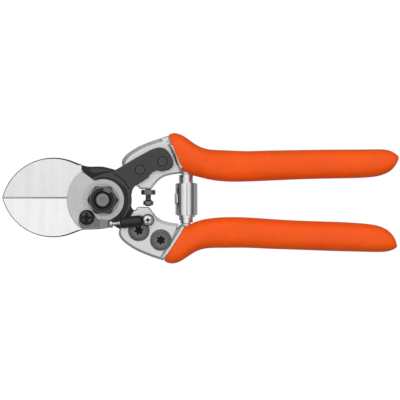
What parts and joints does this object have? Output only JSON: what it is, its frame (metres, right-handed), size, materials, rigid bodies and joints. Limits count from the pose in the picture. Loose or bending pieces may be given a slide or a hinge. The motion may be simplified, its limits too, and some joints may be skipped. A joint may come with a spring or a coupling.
{
  "type": "pruning shears",
  "caption": "Double-cut pruning shears: bypassing half-leaf blades, cast handles in dipped grips, volute spring, closing stop and a sprung swing catch.",
  "frame": {"origin": "on the blade pivot's axis, in the flat rear face of the pivot bolt's head", "axes": "+X from the pivot along the handles, +Y towards the upper handle, +Z out of the front, where the pivot nut is"},
  "size_m": [0.2194, 0.0725, 0.0209],
  "materials": {
    "ground_steel": "ground",
    "blued_steel": "black oxide",
    "dark_steel": "dark",
    "bright_zinc": "zinc plated",
    "cast_aluminium": "satin",
    "bronze": "sintered",
    "orange_dip": "dipped vinyl",
    "black_plastic": "satin",
    "spring_steel": "bright"
  },
  "bodies": {
    "front_half": {"front_blade": "ground_steel", "upper_handle": "cast_aluminium", "upper_grip": "orange_dip", "upper_tang_screw_1": "blued_steel", "upper_tang_screw_2": "blued_steel", "pivot_bolt": "blued_steel", "pivot_washer": "dark_steel", "pivot_nut": "blued_steel", "nut_lock_screw": "blued_steel", "keeper_plate": "dark_steel"},
    "rear_half": {"rear_blade": "ground_steel", "lower_handle": "cast_aluminium", "lower_grip": "orange_dip", "lower_tang_screw_1": "blued_steel", "lower_tang_screw_2": "blued_steel", "pivot_bushing": "bronze", "catch_pivot_screw": "bright_zinc", "catch_wave_washer": "bright_zinc", "volute_spring": "spring_steel"},
    "catch": {"catch_barrel": "black_plastic", "plunger_spring": "spring_steel"},
    "plunger": {"catch_plunger": "bright_zinc"},
    "stop": {"stop_screw": "dark_steel"},
    "lock_nut": {"stop_lock_nut": "dark_steel"}
  },
  "joints": [
    {"name": "blade_pivot", "type": "hinge", "parent": "front_half", "child": "rear_half", "pos_m": [0, 0, 0.009], "axis": [0, 0, -1], "range_deg": [0, 34], "deforming": ["volute_spring"]},
    {"name": "catch_swing", "type": "hinge", "parent": "rear_half", "child": "catch", "pos_m": [0.0247, -0.011, 0.0176], "axis": [0, 0, 1], "range_deg": [0, 55]},
    {"name": "plunger_press", "type": "slide", "parent": "catch", "child": "plunger", "axis": [0.9945, 0.1045, 0], "range_m": [0, 0.0025], "stiffness_N_per_m": 300, "springref_m": -0.002, "deforming": ["plunger_spring"]},
    {"name": "stop_adjust", "type": "slide", "parent": "front_half", "child": "stop", "axis": [0, 1, 0], "range_m": [0, 0.0012]},
    {"name": "lock_nut_turn", "type": "hinge", "parent": "front_half", "child": "lock_nut", "pos_m": [0.0246, 0.0042, 0.0067], "axis": [0, 1, 0], "range_deg": [0, 360]}
  ]
}
